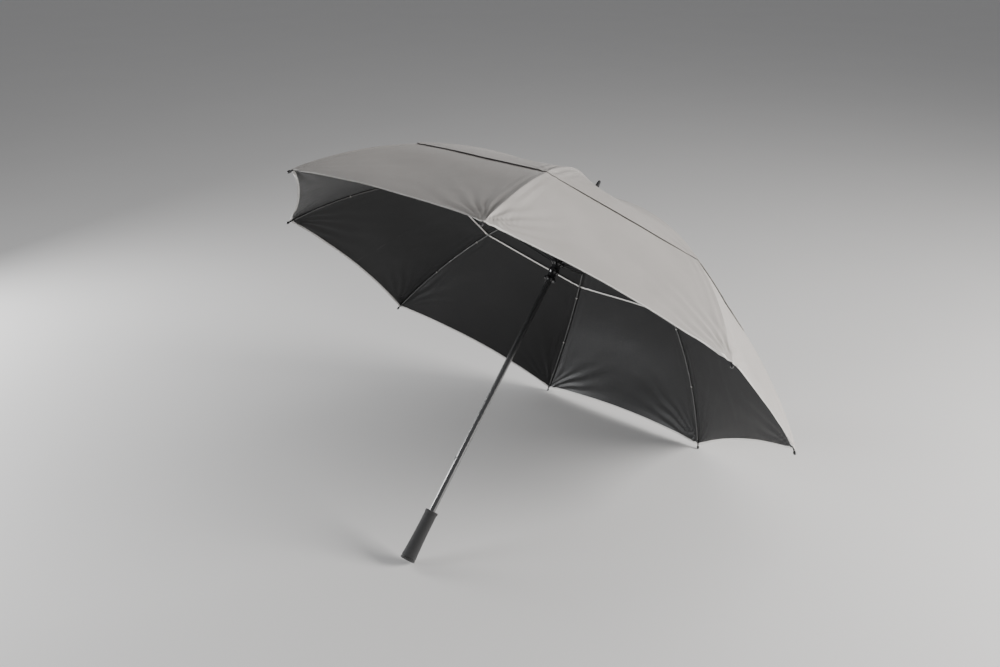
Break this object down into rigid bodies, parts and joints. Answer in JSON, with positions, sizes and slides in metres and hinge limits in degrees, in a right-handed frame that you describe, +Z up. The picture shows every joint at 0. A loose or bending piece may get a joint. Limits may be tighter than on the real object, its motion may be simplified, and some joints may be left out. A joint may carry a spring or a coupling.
{
  "type": "golf umbrella",
  "caption": "Open golf umbrella lying on its grip and rim: vented two-layer canopy on folding sprung ribs, sliding runner, straight shaft and foam grip.",
  "frame": {"origin": "bottom centre of the bounding box, on the floor under the opened umbrella", "axes": "+Z up from the floor; the shaft rises toward +Y from the grip, in the YZ plane; +X to the right seen from the grip's side"},
  "size_m": [1.215, 0.8902, 0.8768],
  "materials": {
    "canopy_cloth": "coated satin weave, silver-grey outside, black inside",
    "glass_fibre": "smooth",
    "stretcher_steel": "black coat, satin",
    "bright_steel": "bright",
    "shaft_black": "gloss black",
    "grip_foam": "matte foam",
    "black_plastic": "satin"
  },
  "bodies": {
    "shaft": {"shaft_tube": "shaft_black", "grip": "grip_foam", "grip_end_cap": "black_plastic", "ferrule": "black_plastic", "crown_washer": "black_plastic", "crown": "black_plastic", "crown_wire": "bright_steel"},
    "runner": {"runner": "black_plastic"},
    "top_catch": {"top_catch": "bright_steel"},
    "bottom_catch": {"bottom_catch": "bright_steel"},
    "rib_1": {"rib_inner_1": "glass_fibre", "upper_canopy_1": "canopy_cloth"},
    "rib_end_1": {"rib_outer_1": "glass_fibre", "rib_tip_1": "black_plastic", "lower_canopy_1": "canopy_cloth"},
    "stretcher_1": {"stretcher_1": "stretcher_steel"},
    "rib_2": {"rib_inner_2": "glass_fibre", "upper_canopy_2": "canopy_cloth"},
    "rib_end_2": {"rib_outer_2": "glass_fibre", "rib_tip_2": "black_plastic", "lower_canopy_2": "canopy_cloth"},
    "stretcher_2": {"stretcher_2": "stretcher_steel"},
    "rib_3": {"rib_inner_3": "glass_fibre", "upper_canopy_3": "canopy_cloth"},
    "rib_end_3": {"rib_outer_3": "glass_fibre", "rib_tip_3": "black_plastic", "lower_canopy_3": "canopy_cloth"},
    "stretcher_3": {"stretcher_3": "stretcher_steel"},
    "rib_4": {"rib_inner_4": "glass_fibre", "upper_canopy_4": "canopy_cloth"},
    "rib_end_4": {"rib_outer_4": "glass_fibre", "rib_tip_4": "black_plastic", "lower_canopy_4": "canopy_cloth"},
    "stretcher_4": {"stretcher_4": "stretcher_steel"},
    "rib_5": {"rib_inner_5": "glass_fibre", "upper_canopy_5": "canopy_cloth"},
    "rib_end_5": {"rib_outer_5": "glass_fibre", "rib_tip_5": "black_plastic", "lower_canopy_5": "canopy_cloth"},
    "stretcher_5": {"stretcher_5": "stretcher_steel"},
    "rib_6": {"rib_inner_6": "glass_fibre", "upper_canopy_6": "canopy_cloth"},
    "rib_end_6": {"rib_outer_6": "glass_fibre", "rib_tip_6": "black_plastic", "lower_canopy_6": "canopy_cloth"},
    "stretcher_6": {"stretcher_6": "stretcher_steel"},
    "rib_7": {"rib_inner_7": "glass_fibre", "upper_canopy_7": "canopy_cloth"},
    "rib_end_7": {"rib_outer_7": "glass_fibre", "rib_tip_7": "black_plastic", "lower_canopy_7": "canopy_cloth"},
    "stretcher_7": {"stretcher_7": "stretcher_steel"},
    "rib_8": {"rib_inner_8": "glass_fibre", "upper_canopy_8": "canopy_cloth"},
    "rib_end_8": {"rib_outer_8": "glass_fibre", "rib_tip_8": "black_plastic", "lower_canopy_8": "canopy_cloth"},
    "stretcher_8": {"stretcher_8": "stretcher_steel"}
  },
  "joints": [
    {"name": "runner_slide", "type": "slide", "parent": "shaft", "child": "runner", "axis": [0, -0.6987, -0.7154], "range_m": [0, 0.4613]},
    {"name": "top_catch_press", "type": "slide", "parent": "shaft", "child": "top_catch", "axis": [0.7071, 0.5059, -0.4941], "range_m": [0, 0.0027], "stiffness_N_per_m": 300},
    {"name": "bottom_catch_press", "type": "slide", "parent": "shaft", "child": "bottom_catch", "axis": [0.7071, 0.5059, -0.4941], "range_m": [0, 0.0027], "stiffness_N_per_m": 300},
    {"name": "rib_fold_1", "type": "hinge", "parent": "shaft", "child": "rib_1", "pos_m": [-0.00498, 0.23493, 0.69301], "axis": [0.9239, -0.2738, 0.2674], "range_deg": [0, 69.65], "deforming": ["upper_canopy_1"]},
    {"name": "rib_flex_1", "type": "hinge", "parent": "rib_1", "child": "rib_end_1", "pos_m": [-0.12796, -0.04109, 0.83533], "axis": [-0.9239, 0.2738, -0.2674], "range_deg": [0, 19.22], "deforming": ["lower_canopy_1"]},
    {"name": "stretcher_turn_1", "type": "hinge", "parent": "rib_1", "child": "stretcher_1", "pos_m": [-0.12331, -0.03293, 0.82763], "axis": [-0.9239, 0.2738, -0.2674], "range_deg": [0, 139.3]},
    {"name": "rib_fold_2", "type": "hinge", "parent": "shaft", "child": "rib_2", "pos_m": [-0.01201, 0.23996, 0.68809], "axis": [0.3827, -0.661, 0.6455], "range_deg": [0, 69.65], "deforming": ["upper_canopy_2"]},
    {"name": "rib_flex_2", "type": "hinge", "parent": "rib_2", "child": "rib_end_2", "pos_m": [-0.30891, 0.08837, 0.70889], "axis": [-0.3827, 0.661, -0.6455], "range_deg": [0, 19.22], "deforming": ["lower_canopy_2"]},
    {"name": "stretcher_turn_2", "type": "hinge", "parent": "rib_2", "child": "stretcher_2", "pos_m": [-0.2977, 0.09183, 0.70579], "axis": [-0.3827, 0.661, -0.6455], "range_deg": [0, 139.3]},
    {"name": "rib_fold_3", "type": "hinge", "parent": "shaft", "child": "rib_3", "pos_m": [-0.01201, 0.24708, 0.68114], "axis": [-0.3827, -0.661, 0.6455], "range_deg": [0, 69.65], "deforming": ["upper_canopy_3"]},
    {"name": "rib_flex_3", "type": "hinge", "parent": "rib_3", "child": "rib_end_3", "pos_m": [-0.30891, 0.27146, 0.53009], "axis": [0.3827, 0.661, -0.6455], "range_deg": [0, 19.22], "deforming": ["lower_canopy_3"]},
    {"name": "stretcher_turn_3", "type": "hinge", "parent": "rib_3", "child": "stretcher_3", "pos_m": [-0.2977, 0.26827, 0.53347], "axis": [0.3827, 0.661, -0.6455], "range_deg": [0, 139.3]},
    {"name": "rib_fold_4", "type": "hinge", "parent": "shaft", "child": "rib_4", "pos_m": [-0.00498, 0.25211, 0.67622], "axis": [-0.9239, -0.2738, 0.2674], "range_deg": [0, 69.65], "deforming": ["upper_canopy_4"]},
    {"name": "rib_flex_4", "type": "hinge", "parent": "rib_4", "child": "rib_end_4", "pos_m": [-0.12796, 0.40092, 0.40365], "axis": [0.9239, 0.2738, -0.2674], "range_deg": [0, 19.22], "deforming": ["lower_canopy_4"]},
    {"name": "stretcher_turn_4", "type": "hinge", "parent": "rib_4", "child": "stretcher_4", "pos_m": [-0.12331, 0.39303, 0.41163], "axis": [0.9239, 0.2738, -0.2674], "range_deg": [0, 139.3]},
    {"name": "rib_fold_5", "type": "hinge", "parent": "shaft", "child": "rib_5", "pos_m": [0.00498, 0.25211, 0.67622], "axis": [-0.9239, 0.2738, -0.2674], "range_deg": [0, 69.65], "deforming": ["upper_canopy_5"]},
    {"name": "rib_flex_5", "type": "hinge", "parent": "rib_5", "child": "rib_end_5", "pos_m": [0.12796, 0.40092, 0.40365], "axis": [0.9239, -0.2738, 0.2674], "range_deg": [0, 19.22], "deforming": ["lower_canopy_5"]},
    {"name": "stretcher_turn_5", "type": "hinge", "parent": "rib_5", "child": "stretcher_5", "pos_m": [0.12331, 0.39303, 0.41163], "axis": [0.9239, -0.2738, 0.2674], "range_deg": [0, 139.3]},
    {"name": "rib_fold_6", "type": "hinge", "parent": "shaft", "child": "rib_6", "pos_m": [0.01201, 0.24708, 0.68114], "axis": [-0.3827, 0.661, -0.6455], "range_deg": [0, 69.65], "deforming": ["upper_canopy_6"]},
    {"name": "rib_flex_6", "type": "hinge", "parent": "rib_6", "child": "rib_end_6", "pos_m": [0.30891, 0.27146, 0.53009], "axis": [0.3827, -0.661, 0.6455], "range_deg": [0, 19.22], "deforming": ["lower_canopy_6"]},
    {"name": "stretcher_turn_6", "type": "hinge", "parent": "rib_6", "child": "stretcher_6", "pos_m": [0.2977, 0.26827, 0.53347], "axis": [0.3827, -0.661, 0.6455], "range_deg": [0, 139.3]},
    {"name": "rib_fold_7", "type": "hinge", "parent": "shaft", "child": "rib_7", "pos_m": [0.01201, 0.23996, 0.68809], "axis": [0.3827, 0.661, -0.6455], "range_deg": [0, 69.65], "deforming": ["upper_canopy_7"]},
    {"name": "rib_flex_7", "type": "hinge", "parent": "rib_7", "child": "rib_end_7", "pos_m": [0.30891, 0.08837, 0.70889], "axis": [-0.3827, -0.661, 0.6455], "range_deg": [0, 19.22], "deforming": ["lower_canopy_7"]},
    {"name": "stretcher_turn_7", "type": "hinge", "parent": "rib_7", "child": "stretcher_7", "pos_m": [0.2977, 0.09183, 0.70579], "axis": [-0.3827, -0.661, 0.6455], "range_deg": [0, 139.3]},
    {"name": "rib_fold_8", "type": "hinge", "parent": "shaft", "child": "rib_8", "pos_m": [0.00498, 0.23493, 0.69301], "axis": [0.9239, 0.2738, -0.2674], "range_deg": [0, 69.65], "deforming": ["upper_canopy_8"]},
    {"name": "rib_flex_8", "type": "hinge", "parent": "rib_8", "child": "rib_end_8", "pos_m": [0.12796, -0.04109, 0.83533], "axis": [-0.9239, -0.2738, 0.2674], "range_deg": [0, 19.22], "deforming": ["lower_canopy_8"]},
    {"name": "stretcher_turn_8", "type": "hinge", "parent": "rib_8", "child": "stretcher_8", "pos_m": [0.12331, -0.03293, 0.82763], "axis": [-0.9239, -0.2738, 0.2674], "range_deg": [0, 139.3]}
  ],
  "couplings": [
    {"joint": "rib_fold_1", "follows": "runner_slide", "rad_per_m": 2.6345},
    {"joint": "rib_flex_1", "follows": "runner_slide", "rad_per_m": 0.72643},
    {"joint": "stretcher_turn_1", "follows": "runner_slide", "rad_per_m": 5.2689},
    {"joint": "rib_fold_2", "follows": "runner_slide", "rad_per_m": 2.6345},
    {"joint": "rib_flex_2", "follows": "runner_slide", "rad_per_m": 0.72643},
    {"joint": "stretcher_turn_2", "follows": "runner_slide", "rad_per_m": 5.2689},
    {"joint": "rib_fold_3", "follows": "runner_slide", "rad_per_m": 2.6345},
    {"joint": "rib_flex_3", "follows": "runner_slide", "rad_per_m": 0.72643},
    {"joint": "stretcher_turn_3", "follows": "runner_slide", "rad_per_m": 5.2689},
    {"joint": "rib_fold_4", "follows": "runner_slide", "rad_per_m": 2.6345},
    {"joint": "rib_flex_4", "follows": "runner_slide", "rad_per_m": 0.72643},
    {"joint": "stretcher_turn_4", "follows": "runner_slide", "rad_per_m": 5.2689},
    {"joint": "rib_fold_5", "follows": "runner_slide", "rad_per_m": 2.6345},
    {"joint": "rib_flex_5", "follows": "runner_slide", "rad_per_m": 0.72643},
    {"joint": "stretcher_turn_5", "follows": "runner_slide", "rad_per_m": 5.2689},
    {"joint": "rib_fold_6", "follows": "runner_slide", "rad_per_m": 2.6345},
    {"joint": "rib_flex_6", "follows": "runner_slide", "rad_per_m": 0.72643},
    {"joint": "stretcher_turn_6", "follows": "runner_slide", "rad_per_m": 5.2689},
    {"joint": "rib_fold_7", "follows": "runner_slide", "rad_per_m": 2.6345},
    {"joint": "rib_flex_7", "follows": "runner_slide", "rad_per_m": 0.72643},
    {"joint": "stretcher_turn_7", "follows": "runner_slide", "rad_per_m": 5.2689},
    {"joint": "rib_fold_8", "follows": "runner_slide", "rad_per_m": 2.6345},
    {"joint": "rib_flex_8", "follows": "runner_slide", "rad_per_m": 0.72643},
    {"joint": "stretcher_turn_8", "follows": "runner_slide", "rad_per_m": 5.2689}
  ]
}
